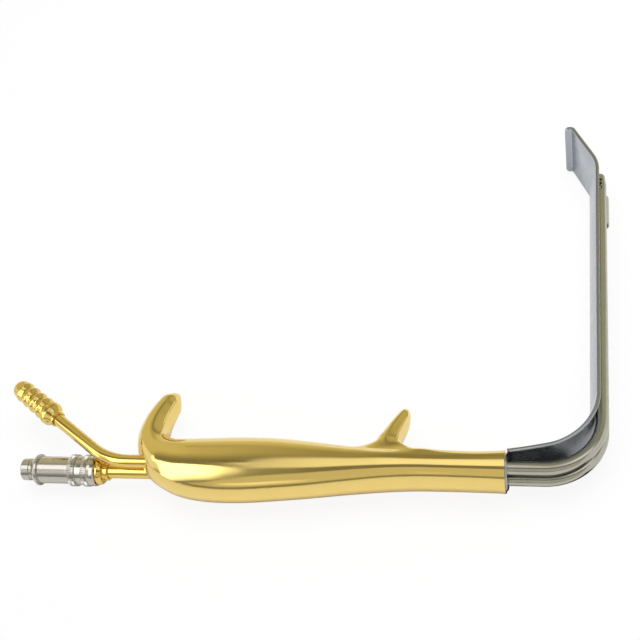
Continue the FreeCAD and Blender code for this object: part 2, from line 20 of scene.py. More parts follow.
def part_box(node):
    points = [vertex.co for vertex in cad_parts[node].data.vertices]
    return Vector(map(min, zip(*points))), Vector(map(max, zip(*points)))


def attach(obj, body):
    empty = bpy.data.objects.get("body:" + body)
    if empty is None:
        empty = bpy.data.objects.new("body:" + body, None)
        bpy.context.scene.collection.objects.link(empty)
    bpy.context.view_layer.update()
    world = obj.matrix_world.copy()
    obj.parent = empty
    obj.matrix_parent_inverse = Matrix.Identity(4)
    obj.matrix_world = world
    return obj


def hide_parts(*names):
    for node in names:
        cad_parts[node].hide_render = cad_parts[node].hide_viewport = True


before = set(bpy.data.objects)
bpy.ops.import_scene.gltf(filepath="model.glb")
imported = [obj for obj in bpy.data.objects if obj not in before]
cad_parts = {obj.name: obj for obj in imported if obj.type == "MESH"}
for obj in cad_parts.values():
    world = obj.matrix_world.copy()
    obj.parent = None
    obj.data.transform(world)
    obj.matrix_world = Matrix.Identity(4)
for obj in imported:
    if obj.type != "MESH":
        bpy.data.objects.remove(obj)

LOG = logging.getLogger("retractor")
MM = 0.001
# Edges of turned parts that turn by more than this are broken.
SHARP = math.radians(14)
Ring = list[BMVert]
Row = tuple[float, ...]

# Places that several sub-assemblies share: the tubes' height in the handle, their sides, where they
# run along the blade, where both begin inside the handle, and their radius.
BORE_HEIGHT = -0.8
SUCTION_Z, LIGHT_Z = 4.4, -4.4
TUBE_X = 36.58
TUBE_START = -40.0
TUBE_RADIUS = 2.65


class Body(Enum):
    """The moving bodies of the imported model."""

    ROOT = "root"
    INNER_ADAPTER = "inner_adapter"
    INNER_RING = "inner_ring"
    OUTER_ADAPTER = "outer_adapter"
    OUTER_RING = "outer_ring"


class Slot(Enum):
    """The record's material slots."""

    GOLD = "gold_plate"
    STEEL = "satin_steel"
    NICKEL = "bright_nickel"


# Colour and node helpers


def linear(code: str) -> tuple[float, float, float, float]:
    """Turns an sRGB hex colour into the linear colour that the shaders read.

    Args:
        code: Six hex digits after a hash.

    Returns:
        Red, green, blue and an alpha of 1.
    """
    parts = [int(code[i:i + 2], 16) / 255 for i in (1, 3, 5)]
    red, green, blue = (c / 12.92 if c <= 0.04045 else ((c + 0.055) / 1.055) ** 2.4 for c in parts)
    return red, green, blue, 1.0


def per_metre(size: float) -> float:
    """Gives the texture scale of a pattern that repeats every so many millimetres."""
    return 1.0 / (size * MM)


def add_node(tree: NodeTree, kind: str, inputs: dict | None = None, **settings: object) -> Node:
    """Adds a node with its settings, values and links.

    Args:
        tree: The node tree that it goes into.
        kind: The node's type name.
        inputs: Socket name or number, and either a value or the output socket that feeds it.
        settings: The node's own properties.

    Returns:
        The new node.
    """
    node = tree.nodes.new(kind)
    for key, value in settings.items():
        setattr(node, key, value)
    for key, value in (inputs or {}).items():
        if isinstance(value, NodeSocket):
            tree.links.new(value, node.inputs[key])
        else:
            node.inputs[key].default_value = value
    return node


def new_tree(name: str) -> tuple[Material, NodeTree]:
    """Makes an empty node material.

    Args:
        name: The material's name.

    Returns:
        The material and its cleared node tree.
    """
    material = bpy.data.materials.new(name)
    material.use_nodes = True
    material.node_tree.nodes.clear()
    return material, material.node_tree


def show(tree: NodeTree, kind: str, inputs: dict) -> None:
    """Adds a shader and shows it on the surface."""
    shader = add_node(tree, kind, inputs)
    add_node(tree, "ShaderNodeOutputMaterial", {"Surface": shader.outputs[0]})


def object_place(tree: NodeTree) -> NodeSocket:
    """Adds the place on the object, in metres."""
    return add_node(tree, "ShaderNodeTexCoord").outputs["Object"]


def tinted(tree: NodeTree, share: NodeSocket, colour: str, shade: str) -> NodeSocket:
    """Mixes two close shades."""
    return add_node(tree, "ShaderNodeMix", {"Factor": share, 6: linear(colour), 7: linear(shade)},
                    data_type="RGBA").outputs[2]


# Finishes


@dataclass(frozen=True)
class MetalFinish:
    """A metal surface: its two close shades, its polish and the fine marks of polishing."""

    name: str
    colour: str
    shade: str
    roughness: tuple[float, float]
    cloud: float
    grain: tuple[float, float, float]
    depth: float

    def material(self) -> Material:
        """Builds the metal as a node material.

        Returns:
            The material, with polish marks in its roughness and bump.
        """
        material, tree = new_tree(self.name)
        place = object_place(tree)
        clouds = add_node(tree, "ShaderNodeTexNoise", {
            "Vector": place, "Scale": per_metre(self.cloud), "Detail": 3.0}).outputs[0]
        stretched = add_node(tree, "ShaderNodeMapping",
                             {"Vector": place, "Scale": [per_metre(size) for size in self.grain]})
        marks = add_node(tree, "ShaderNodeTexNoise",
                         {"Vector": stretched.outputs[0], "Scale": 1.0, "Detail": 2.0}).outputs[0]
        mixed = add_node(tree, "ShaderNodeMath", {0: clouds, 1: marks}, operation="MULTIPLY")
        polish = add_node(tree, "ShaderNodeMapRange", {
            "Value": mixed.outputs[0], "From Min": 0.1, "From Max": 0.45,
            "To Min": self.roughness[0], "To Max": self.roughness[1]})
        bump = add_node(tree, "ShaderNodeBump",
                        {"Height": marks, "Strength": 1.0, "Distance": self.depth * MM})
        show(tree, "ShaderNodeBsdfPrincipled", {
            "Base Color": tinted(tree, clouds, self.colour, self.shade), "Metallic": 1.0,
            "Roughness": polish.outputs[0], "Normal": bump.outputs[0]})
        return material


@dataclass(frozen=True)
class ClearFinish:
    """Polished optical glass, or the matt cut face of a glass fibre bundle."""

    name: str
    colour: str
    roughness: tuple[float, float]
    transmission: float
    speck: float

    def material(self) -> Material:
        """Builds the glass as a node material.

        Returns:
            The material, with a cell pattern of fibre ends in its roughness.
        """
        material, tree = new_tree(self.name)
        cells = add_node(tree, "ShaderNodeTexVoronoi",
                         {"Vector": object_place(tree), "Scale": per_metre(self.speck)})
        polish = add_node(tree, "ShaderNodeMapRange", {
            "Value": cells.outputs["Distance"],
            "To Min": self.roughness[0], "To Max": self.roughness[1]})
        show(tree, "ShaderNodeBsdfPrincipled", {
            "Base Color": linear(self.colour), "Roughness": polish.outputs[0], "IOR": 1.52,
            "Transmission Weight": self.transmission})
        return material


@dataclass(frozen=True)
class RubberFinish:
    """Moulded silicone rubber: matt, slightly cloudy."""

    name: str
    colour: str
    shade: str

    def material(self) -> Material:
        """Builds the rubber as a node material.

        Returns:
            The material.
        """
        material, tree = new_tree(self.name)
        clouds = add_node(tree, "ShaderNodeTexNoise",
                          {"Vector": object_place(tree), "Scale": per_metre(1.5)})
        show(tree, "ShaderNodeBsdfPrincipled", {
            "Base Color": tinted(tree, clouds.outputs[0], self.colour, self.shade),
            "Roughness": 0.55, "IOR": 1.43})
        return material


# Gold plate over polished brass: a warm mirror with a very faint haze of buffing marks.
GOLD = MetalFinish("polished_gold_plate", "#EACF7F", "#E7CB79", (0.10, 0.15), 9.0,
                   (6.0, 0.5, 0.5), 0.0005)
# Small turned brass fittings under the same plate: sharper mirror, with tool marks round the axis.
TURNED_GOLD = MetalFinish("turned_gold_plate", "#E6C973", "#DDBD66", (0.07, 0.12), 2.0,
                          (0.25, 1.5, 1.5), 0.0005)
# Stainless steel, satin finished with fine abrasive: soft grey, streaks along the blade.
SATIN = MetalFinish("satin_stainless_steel", "#ABAFB5", "#A0A4AA", (0.22, 0.30), 9.0,
                    (0.35, 9.0, 0.35), 0.0015)
# Drawn stainless tube, lightly glass-beaded: a warmer grey than the rolled blade.
DRAWN = MetalFinish("drawn_stainless_tube", "#B6B4A8", "#A9A79B", (0.15, 0.21), 6.0,
                    (0.4, 3.0, 0.4), 0.0006)
# Machined steel that stays inside the handle: plain turned grey.
MACHINED = MetalFinish("machined_steel", "#A5A6A6", "#8F9090", (0.30, 0.42), 3.0,
                       (0.25, 1.2, 1.2), 0.003)
# Silver braze: bright and slightly rippled where it froze.
BRAZED = MetalFinish("silver_braze", "#C3BFB2", "#ADA899", (0.28, 0.45), 0.8, (0.6, 0.6, 0.6), 0.02)
# Nickel plate over turned brass: warm white mirror with faint tool marks round the axis.
NICKEL = MetalFinish("bright_nickel_plate", "#C2BEB5", "#B4B0A6", (0.11, 0.18), 2.0,
                     (0.22, 1.6, 1.6), 0.0008)
# Ground optical glass, clear with a polished face.
GLASS = ClearFinish("optical_glass", "#F4F8F6", (0.02, 0.06), 1.0, 0.3)
# Cut and polished ends of packed glass fibres, drawn coarser than their 0.05 mm so that they show.
FIBRE = ClearFinish("glass_fibre_ends", "#D8D6C4", (0.25, 0.55), 0.0, 0.25)
# Silicone sleeve over the fibres, seen only when the handle is opened.
SILICONE = RubberFinish("silicone_rubber", "#C9C4B8", "#BBB6AA")


# Places and meshes


@dataclass(frozen=True)
class Seat:
    """Where the maker's axes lie in the row frame, read from the CAD frame."""

    rim: float
    bore: float
    middle: float

    @classmethod
    def from_frame(cls) -> "Seat":
        """Reads the places from CAD nodes.

        Returns:
            The handle's rim, the tubes' height and the middle plane.
        """
        shell_low, shell_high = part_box("handle_shell_left")
        post_low, post_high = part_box("light_post_tube")
        return cls(shell_high.x, (post_low.y + post_high.y) / 2, shell_low.z)

    def matrix(self) -> Matrix:
        """Gives the transform from the maker's millimetres to the row frame."""
        origin = Vector((self.rim, self.bore - BORE_HEIGHT * MM, self.middle))
        return Matrix.Translation(origin) @ Matrix.Scale(MM, 4)


SEAT = Seat.from_frame()


def placed(name: str, data: bpy.types.ID) -> Object:
    """Puts a mesh, lamp or camera into the scene.

    Args:
        name: The object's name.
        data: What it shows.

    Returns:
        The new object.
    """
    item = bpy.data.objects.new(name, data)
    bpy.context.scene.collection.objects.link(item)
    return item


def meshed(mesh: BMesh, name: str) -> bpy.types.Mesh:
    """Turns a built form into mesh data.

    Args:
        mesh: The form; it is freed.
        name: The data's name.

    Returns:
        The mesh data.
    """
    data = bpy.data.meshes.new(name)
    mesh.to_mesh(data)
    mesh.free()
    return data


def heading_of(angle: float) -> Vector:
    """Gives the unit vector at an angle in radians in a plane of constant Z."""
    return Vector((math.cos(angle), math.sin(angle), 0.0))


def first_ring(mesh: BMesh, places: Sequence[Vector]) -> Ring:
    """Starts a form with a circle of vertices moved onto its first section.

    Args:
        mesh: The mesh that it starts in.
        places: The section's points, in order.

    Returns:
        The ring of vertices.
    """
    ring = list(bmesh.ops.create_circle(mesh, segments=len(places), radius=1.0)["verts"])
    for vert, place in zip(ring, places):
        vert.co = place
    return ring


def next_ring(mesh: BMesh, ring: Ring, places: Sequence[Vector]) -> Ring:
    """Extrudes a closed ring and moves the new ring onto the next section.

    Args:
        mesh: The mesh that holds the ring.
        ring: The ring to extrude.
        places: The new section's points, in the ring's order.

    Returns:
        The new ring of vertices.
    """
    made = bmesh.ops.extrude_edge_only(mesh, edges=around(mesh, ring))["geom"]
    fresh = {item for item in made if isinstance(item, BMVert)}
    grown = [next(other for other in (edge.other_vert(vert) for edge in vert.link_edges)
                  if other in fresh) for vert in ring]
    for vert, place in zip(grown, places):
        vert.co = place
    return grown


def cap(mesh: BMesh, ring: Ring) -> None:
    """Closes a ring with one face."""
    bmesh.ops.contextual_create(mesh, geom=around(mesh, ring))


def around(mesh: BMesh, ring: Ring) -> list[bmesh.types.BMEdge]:
    """Gives the edges round a ring."""
    return [mesh.edges.get(pair) for pair in zip(ring, ring[1:] + ring[:1])]


def round_section(centre: Vector, side: Vector, radius: float, corners: int) -> list[Vector]:
    """Works out a round section across a form that runs at right angles to Z.

    Args:
        centre: Its centre.
        side: The unit vector across the form, at right angles to Z.
        radius: Its radius.
        corners: How many points it has.

    Returns:
        Points round the section.
    """
    turns = (2 * math.pi * step / corners for step in range(corners))
    return [centre + side * (radius * math.sin(turn)) + Vector((0, 0, radius * math.cos(turn)))
            for turn in turns]


def lofted(sections: Sequence[Sequence[Vector]], hollow: bool = False) -> BMesh:
    """Builds a form through sections, capped at both ends, or joined end to start when hollow.

    Args:
        sections: Points of each section, all with the same count.
        hollow: Joins the last section to the first, for a wall with an inside.

    Returns:
        The form.
    """
    mesh = bmesh.new()
    first = last = first_ring(mesh, sections[0])
    for places in sections[1:]:
        last = next_ring(mesh, last, places)
    if hollow:
        bmesh.ops.bridge_loops(mesh, edges=around(mesh, first) + around(mesh, last))
    else:
        cap(mesh, first)
        cap(mesh, last)
    return mesh


def turned(profile: Sequence[tuple[float, float]], placing: Matrix,
           bevel: float = 0.12, segments: int = 72) -> BMesh:
    """Turns a closed profile about the X axis, breaks its edges and puts it in place.

    Args:
        profile: Points of (place along the axis, radius), as a closed outline.
        placing: The transform from the turning axis to the maker's axes.
        bevel: The width of the broken edges.
        segments: Steps in the full turn.

    Returns:
        The form.
    """
    mesh = bmesh.new()
    verts = [mesh.verts.new((place, radius, 0.0)) for place, radius in profile]
    edges = [mesh.edges.new(pair) for pair in zip(verts, verts[1:] + verts[:1])]
    bmesh.ops.spin(mesh, geom=verts + edges, cent=(0, 0, 0), axis=(1, 0, 0), dvec=(0, 0, 0),
                   angle=2 * math.pi, steps=segments, use_merge=True, use_duplicate=False)
    bmesh.ops.remove_doubles(mesh, verts=mesh.verts, dist=1e-5)
    bmesh.ops.recalc_face_normals(mesh, faces=mesh.faces)
    broken = [edge for edge in mesh.edges
              if len(edge.link_faces) == 2 and edge.calc_face_angle(0.0) > SHARP]
    bmesh.ops.bevel(mesh, geom=broken, offset=bevel, offset_type="OFFSET", segments=3, profile=0.5,
                    affect="EDGES", material=-1, clamp_overlap=True)
    mesh.transform(placing)
    return mesh


def along_axis(point: Vector, direction: Vector) -> Matrix:
    """Gives the transform that lays the X axis from a point along a direction."""
    return Matrix.Translation(point) @ direction.to_track_quat("X", "Z").to_matrix().to_4x4()


def finished(mesh: BMesh, name: str, finish: Material, replaced: Sequence[str],
             body: Body = Body.ROOT, levels: int = 0, weighted: bool = True) -> Object:
    """Makes a visible piece of a mesh, gives it its finish and seats it on its body.

    Args:
        mesh: The piece in the maker's millimetres; it is freed.
        name: The piece's name.
        finish: Its material.
        replaced: The CAD nodes that it stands for.
        body: The body that it rides on.
        levels: Levels of subdivision.
        weighted: Weights the normals by face area, so that flat faces look flat.

    Returns:
        The new object.
    """
    bmesh.ops.recalc_face_normals(mesh, faces=mesh.faces)
    mesh.transform(SEAT.matrix())
    data = meshed(mesh, name)
    data.shade_smooth()
    data.materials.append(finish)
    piece = placed(name, data)
    if levels:
        smooth = piece.modifiers.new("Subdivision", "SUBSURF")
        smooth.levels = smooth.render_levels = levels
    if weighted:
        piece.modifiers.new("Weighted normals", "WEIGHTED_NORMAL")
    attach(piece, body.value)
    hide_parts(*replaced)
    LOG.info("%s: %d faces on %s", name, len(data.polygons), body.value)
    return piece


def followed(point: Vector, heading: float, legs: Sequence[tuple[float, float, int]]
             ) -> list[tuple[Vector, float, float]]:
    """Follows straight legs and bends of a true radius in a plane of constant Z.

    Args:
        point: Where the line starts.
        heading: Its heading there, in radians.
        legs: Length, 0 and steps of each straight leg, or radius, turn in degrees and steps of
            each bend.

    Returns:
        Point, heading and distance travelled of each step, from the start.
    """
    places = [(point, heading, 0.0)]
    for size, turn, steps in legs:
        change = math.radians(turn) / steps
        chord = 2 * size * math.sin(abs(change) / 2) if turn else size / steps
        for _ in range(steps):
            point, heading, travelled = places[-1]
            places.append((point + heading_of(heading + change / 2) * chord, heading + change,
                           travelled + (abs(size * change) if turn else chord)))
    return places


# Handle

# Corners of a section where the flat of the palm side begins and ends.
NEAR_EDGE, FAR_EDGE = 2, 6


@dataclass
class Handle:
    """Gold-plated hollow handle with its palm hook and finger horn.

    A row of the spine is: place along X, height Y, tilt in degrees, half height, half width, how
    flat the side towards the palm is, half width of that flat, and how sharp its two edges are.
    """

    wall: float = 1.0
    spine: Sequence[Row] = (
        (0.0, -0.15, 0.0, 7.85, 10.0, 0.0, 7.0, 0.0),
        (-9.0, -0.35, 0.0, 7.45, 9.90, 0.0, 7.0, 0.0),
        (-22.5, -0.45, 0.0, 7.22, 9.90, 0.25, 7.6, 0.0),
        (-36.0, -0.40, 0.0, 7.39, 10.05, 0.60, 8.0, 0.30),
        (-48.0, -0.55, 0.0, 8.08, 10.35, 0.30, 7.8, 0.0),
        (-64.5, -0.85, 0.0, 9.69, 10.80, 0.0, 8.2, 0.0),
        (-78.0, -0.95, 0.0, 11.42, 11.40, 0.0, 8.4, 0.0),
        (-91.5, -1.05, 0.0, 12.80, 12.00, 0.0, 8.4, 0.0),
        (-105.0, -1.50, 0.0, 13.58, 12.40, 0.0, 8.2, 0.0),
        (-118.5, -1.80, 0.0, 13.40, 12.50, 0.0, 8.0, 0.0),
        (-129.75, -1.10, 10.0, 12.39, 12.20, 0.0, 7.0, 0.0),
        (-138.75, 1.40, 30.0, 10.55, 11.05, 0.05, 6.4, 0.0),
        (-145.05, 6.51, 55.0, 8.27, 9.24, 0.20, 5.6, 0.0),
        (-148.05, 12.99, 80.0, 6.61, 7.84, 0.42, 5.0, 0.15),
        (-147.75, 19.99, 96.0, 5.70, 7.00, 0.55, 4.9, 0.20),
        (-145.50, 27.00, 112.0, 4.95, 6.16, 0.55, 4.4, 0.20),
        (-143.55, 31.01, 117.0, 4.20, 5.30, 0.40, 3.6, 0.10),
        (-142.35, 33.40, 120.0, 2.95, 3.90, 0.20, 2.6, 0.0),
        (-141.75, 34.50, 120.0, 1.35, 1.80, 0.0, 1.2, 0.0),
    )
    horn: Sequence[Row] = (
        (-47.7, 10.1, 90.0, 6.45, 6.70, 0.35, 6.1, 0.20),
        (-47.2, 12.4, 90.0, 5.15, 6.60, 0.45, 5.6, 0.25),
        (-46.2, 14.9, 90.0, 4.28, 6.50, 0.55, 5.2, 0.30),
        (-44.9, 18.0, 90.0, 3.94, 6.10, 0.60, 5.0, 0.30),
        (-43.3, 21.6, 90.0, 3.40, 5.44, 0.60, 4.4, 0.25),
        (-42.2, 24.6, 90.0, 2.66, 4.44, 0.45, 3.4, 0.10),
        (-41.7, 26.8, 90.0, 1.65, 2.92, 0.20, 2.0, 0.0),
        (-41.6, 27.75, 90.0, 0.60, 1.20, 0.0, 0.8, 0.0),
    )
    heel_row: int = 10
    hook_row: int = 11
    front_marks: Sequence[float] = (0.0, 1.2, 5.0, 11.0, 17.0, 22.5, 27.5, 32.5)
    block: Sequence[float] = (-37.0, -42.0, -47.5, -53.0, -58.5)
    grip_steps: int = 13
    hook_steps: int = 11
    corners: int = 16
    flat_level: float = 0.90
    flat_camber: float = 0.02
    rim_crease: float = 0.85
    levels: int = 3
    fits: int = 4
    pull: float = 0.9

    def section(self, row: Row, inset: float = 0.0) -> list[Vector]:
        """Works out one section of the spine or the horn.

        Args:
            row: The section's row.
            inset: How far it is drawn in all round.

        Returns:
            Points round the section, from the near side over the palm side.
        """
        x, y, tilt, half_height, half_width, flat, flat_half, _ = row
        half_height, half_width = half_height - inset, half_width - inset
        up = Vector((math.sin(math.radians(tilt)), math.cos(math.radians(tilt)), 0.0))
        points = []
        for step in range(self.corners):
            turn = 2 * math.pi * step / self.corners
            rise, side = half_height * math.sin(turn), half_width * math.cos(turn)
            if NEAR_EDGE <= step <= FAR_EDGE:
                off = (NEAR_EDGE + FAR_EDGE) // 2 - step
                level = half_height * (self.flat_level + self.flat_camber * (2 - abs(off)))
                spread = (flat_half - inset) * off / 2
                rise += flat * (level - rise)
                side += flat * (spread - side)
            points.append(Vector((x, y, 0.0)) + up * rise + Vector((0.0, 0.0, side)))
        return points

    def stations(self) -> list[Row]:
        """Reads the spine at even steps, with steps at the horn's block where they are needed.

        Returns:
            Rows from the rim to the tip of the hook.
        """
        knots = [0.0]
        for before, after in zip(self.spine, self.spine[1:]):
            knots.append(knots[-1] + math.hypot(after[0] - before[0], after[1] - before[1]))
        marks = [*self.front_marks, *(self.reach(knots, x) for x in self.block)]
        for goal, steps in ((knots[self.hook_row], self.grip_steps), (knots[-1], self.hook_steps)):
            start = marks[-1]
            marks += [start + (goal - start) * step / steps for step in range(1, steps + 1)]
        return [self.row_at(knots, mark) for mark in marks]

    def reach(self, knots: list[float], x: float) -> float:
        """Finds the distance along the spine where the straight part of the handle has a place X.

        Args:
            knots: Distance of each row along the spine.
            x: The place along X.

        Returns:
            The distance along the spine.
        """
        low, high = 0.0, knots[self.heel_row]
        for _ in range(40):
            middle = (low + high) / 2
            if self.row_at(knots, middle)[0] > x:
                low = middle
            else:
                high = middle
        return (low + high) / 2

    def row_at(self, knots: list[float], mark: float) -> Row:
        """Reads the spine between its rows with a smooth curve.

        Args:
            knots: Distance of each row along the spine.
            mark: The distance to read at.

        Returns:
            The row at that distance.
        """
        last = len(knots) - 1
        index = min(max(sum(knot <= mark for knot in knots) - 1, 0), last - 1)
        near = [min(max(index + step, 0), last) for step in (-1, 0, 1, 2)]
        spots = [knots[place] for place in near]
        span = spots[2] - spots[1]
        share = (mark - spots[1]) / span
        cubic = 2 * share ** 3 - 3 * share ** 2
        values = []
        for before, start, end, after in zip(*(self.spine[place] for place in near)):
            leaving = (end - before) / (spots[2] - spots[0])
            arriving = (after - start) / (spots[3] - spots[1])
            values.append(start * (cubic + 1) - end * cubic
                          + leaving * span * (share ** 3 - 2 * share ** 2 + share)
                          + arriving * span * (share ** 3 - share ** 2))
        return tuple(values)

    def build(self, finish: Material) -> None:
        """Builds the handle from one ring, with the horn drawn out of its palm side.

        Args:
            finish: The gold plate.
        """
        mesh = bmesh.new()
        crease = mesh.edges.layers.float.new("crease_edge")
        rows = self.stations()
        rings = [first_ring(mesh, self.section(rows[0]))]
        for row in rows[1:]:
            rings.append(next_ring(mesh, rings[-1], self.section(row)))
        cap(mesh, rings[-1])
        for rear, front, row in zip(rings[1:], rings, rows[1:]):
            for corner in (NEAR_EDGE, FAR_EDGE):
                mesh.edges.get((front[corner], rear[corner]))[crease] = max(row[-1], 0.0)
        first = next(i for i, row in enumerate(rows) if abs(row[0] - self.block[0]) < 0.01)
        self.raise_horn(mesh, rings[first:first + len(self.block)], crease)
        self.line_inside(mesh, rings[0], rows, crease)
        self.fit(finished(mesh, "handle", finish,
                          ("handle_shell_left", "handle_shell_right"),
                          levels=self.levels, weighted=False))

    def raise_horn(self, mesh: BMesh, rings: list[Ring], crease: BMLayerItem) -> None:
        """Opens the palm side over the horn's block and draws the horn out of it.

        Args:
            mesh: The handle's mesh.
            rings: The five rings of the block, from front to rear.
            crease: The layer of edge sharpness.
        """
        front, rear = rings[0], rings[-1]
        near, far = ([row[corner] for row in rings] for corner in (NEAR_EDGE, FAR_EDGE))
        palm = slice(NEAR_EDGE, FAR_EDGE + 1)
        ring = [near[2], near[1]] + front[palm] + far[1:4] + rear[palm][::-1] + [near[3]]
        held = {vert for row in rings for vert in row[palm]}
        opened = [face for face in mesh.faces if all(vert in held for vert in face.verts)]
        bmesh.ops.delete(mesh, geom=opened, context="FACES")
        for row in self.horn:
            grown = next_ring(mesh, ring, self.section(row))
            for corner in (NEAR_EDGE, FAR_EDGE):
                mesh.edges.get((ring[corner], grown[corner]))[crease] = row[-1]
            ring = grown
        cap(mesh, ring)

    def line_inside(self, mesh: BMesh, rim: Ring, rows: list[Row], crease: BMLayerItem) -> None:
        """Turns the rim inwards and lines the handle with the inner side of its wall.

        Args:
            mesh: The handle's mesh.
            rim: The outside ring at the front.
            rows: The outside's rows.
            crease: The layer of edge sharpness.
        """
        lining = [row for row in rows[1:] if row[0] > self.spine[self.heel_row][0] and row[1] < 0.0]
        inner = next_ring(mesh, rim, self.section(rows[0], self.wall))
        for ring in (rim, inner):
            for edge in around(mesh, ring):
                edge[crease] = self.rim_crease
        for row in lining[::2] + [lining[-1]]:
            inner = next_ring(mesh, inner, self.section(row[:5] + (0.0, row[6], 0.0), self.wall))
        cap(mesh, inner)

    def fit(self, piece: Object) -> None:
        """Moves the cage until the subdivided surface passes through the measured sections.

        Args:
            piece: The handle, whose cage starts on the sections.
        """
        data = piece.data
        limit = self.pull * MM
        wanted = [vert.co.copy() for vert in data.vertices]
        for _ in range(self.fits):
            seen = piece.evaluated_get(bpy.context.evaluated_depsgraph_get())
            shown = [vert.co.copy() for vert in seen.data.vertices[:len(wanted)]]
            for vert, target, now in zip(data.vertices, wanted, shown):
                offset = vert.co - now
                vert.co = target + offset * min(1.0, limit / max(offset.length, 1e-9))
            data.update()
            piece.update_tag()
            bpy.context.view_layer.update()


# Blade


@dataclass
class Blade:
    """Satin steel blade: a flared root, a bend, a straight length, a slope and a turned lip."""

    width: float = 29.98
    root_width: float = 19.6
    tip_width: float = 28.2
    thickness: float = 1.6
    crown: float = 2.7
    root_crown: float = 0.9
    reach: float = 35.4
    root_place: tuple[float, float] = (0.8, 4.0)
    root_slope: float = 8.0
    bend_radius: float = 22.0
    straight_end: float = 146.1
    tip_slope: float = 26.3
    tip_radius: float = 20.0
    tip_length: float = 19.1
    lip_turn: float = 65.0
    lip_radius: float = 1.6
    lip_length: float = 2.4
    lip_corner: float = 1.8
    edge: float = 0.45
    half_steps: int = 8
    tang: tuple[float, float, float] = (26.0, 4.6, 9.0)

    def line(self) -> tuple[list[tuple[Vector, float, float]], list[float]]:
        """Follows the blade's edge line from the root to the lip.

        Returns:
            The point, heading and distance of each section, and the distances where legs end.
        """
        slope, bend = math.radians(self.root_slope), self.bend_radius
        run = (self.reach - bend * (1 - math.sin(slope)) - self.root_place[0]) / math.cos(slope)
        top = self.root_place[1] + run * math.sin(slope) + bend * math.cos(slope)
        legs = [(run, 0.0, 8), (bend, 90.0 - self.root_slope, 24),
                (self.straight_end - top, 0.0, 26), (self.tip_radius, self.tip_slope, 10),
                (self.tip_length, 0.0, 10), (self.lip_radius, self.lip_turn, 8),
                (self.lip_length, 0.0, 6)]
        places = followed(Vector((*self.root_place, 0.0)), slope, legs)
        ends = accumulate((steps for _, _, steps in legs), initial=0)
        return places, [places[end][2] for end in ends]

    def section(self, point: Vector, heading: float, width: float, crown: float) -> list[Vector]:
        """Works out one crowned section with rounded edges.

        Args:
            point: The edge line's point.
            heading: Its heading.
            width: The section's width.
            crown: How far its middle bows inwards.

        Returns:
            Points round the section.
        """
        inward = Vector((-math.sin(heading), math.cos(heading), 0.0))
        half, skin, points = width / 2 - self.edge, self.thickness / 2, []
        for side in (1, -1):
            for step in range(-self.half_steps, self.half_steps + 1):
                z = math.sin(math.pi / 2 * step / self.half_steps) * half
                bow = crown * (1 - (z / half) ** 2)
                points.append(point + inward * (bow + side * skin) + Vector((0, 0, side * z)))
            for turn in (60, 30, 0, -30, -60):
                angle = math.radians(side * turn)
                depth = math.copysign(skin - self.edge, angle) if turn else 0.0
                points.append(point + inward * (depth + self.edge * math.sin(angle))
                              + Vector((0, 0, side * (half + self.edge * math.cos(angle)))))
        return points

    def build(self, finish: Material) -> None:
        """Builds the blade and its tang.

        Args:
            finish: The satin steel.
        """
        def eased(value: float, low: float, high: float) -> float:
            """Gives a smooth step from 0 at low to 1 at high."""
            share = min(max((value - low) / (high - low), 0.0), 1.0)
            return share * share * (3 - 2 * share)

        places, marks = self.line()
        root_end, straight_end, slope_end, lip_end = marks[2], marks[3], marks[5], marks[7]
        sections = []
        for point, heading, travelled in places:
            grown = eased(travelled, 0.0, root_end)
            width = self.root_width + grown * (self.width - self.root_width)
            width -= eased(travelled, straight_end, lip_end) * (self.width - self.tip_width)
            crown = self.root_crown + grown * (self.crown - self.root_crown)
            crown -= eased(travelled, straight_end, slope_end) * self.crown
            short = max(self.lip_corner - (lip_end - travelled), 0.0)
            width -= 2 * (self.lip_corner - math.sqrt(self.lip_corner ** 2 - short ** 2))
            sections.append(self.section(point, heading, width, crown))
        mesh = lofted(sections)
        length, rise, tang_width = self.tang
        block = Matrix.Translation((self.root_place[0] - length / 2, rise, 0.0))
        bmesh.ops.create_cube(mesh, size=1.0, matrix=block @ Matrix.Diagonal(
            (length, self.thickness, tang_width, 1.0)))
        finished(mesh, "blade_leaf", finish, ("blade",))


# Tubes


@dataclass
class Tube:
    """A round metal tube in a plane of constant Z, with bends of a true radius.

    A leg is: its straight length, and the turn in degrees and radius of the bend after it.
    """

    name: str
    node: str
    slot: Slot
    heading: float
    z: float
    legs: Sequence[tuple[float, float, float]]
    wall: float = 0.5
    corners: int = 40

    def build(self, finish: Material) -> None:
        """Builds the tube with its bore.

        Args:
            finish: The tube's metal.
        """
        steps = []
        for length, turn, bend in self.legs:
            steps.append((length, 0.0, max(int(length / 12), 1)))
            if turn:
                steps.append((bend, turn, int(abs(turn) / 3)))
        start = Vector((TUBE_START, BORE_HEIGHT, self.z))
        places = followed(start, math.radians(self.heading), steps)
        outside, bore = ([
            round_section(point, Vector((-math.sin(heading), math.cos(heading), 0)), radius,
                          self.corners) for point, heading, _ in places]
            for radius in (TUBE_RADIUS, TUBE_RADIUS - self.wall))
        finished(lofted(outside + bore[::-1], hollow=True), self.name, finish,
                 (self.node,))


def front_tube(name: str, node: str, z: float, end: float) -> Tube:
    """Describes one of the two steel tubes that run forward and turn up along the blade.

    Args:
        name: The piece's name.
        node: The CAD node that it stands for.
        z: Its side.
        end: Where it ends along the blade.

    Returns:
        The tube.
    """
    bend = 22.0
    legs = ((TUBE_X - bend - TUBE_START, 90.0, bend), (end - BORE_HEIGHT - bend, 0.0, 0.0))
    return Tube(name, node, Slot.STEEL, 0.0, z, legs)


# Turned fittings


def light_axis() -> Matrix:
    """Gives the transform from the turning axis to the light post's axis."""
    return along_axis(Vector((0.0, BORE_HEIGHT, LIGHT_Z)), Vector((1, 0, 0)))


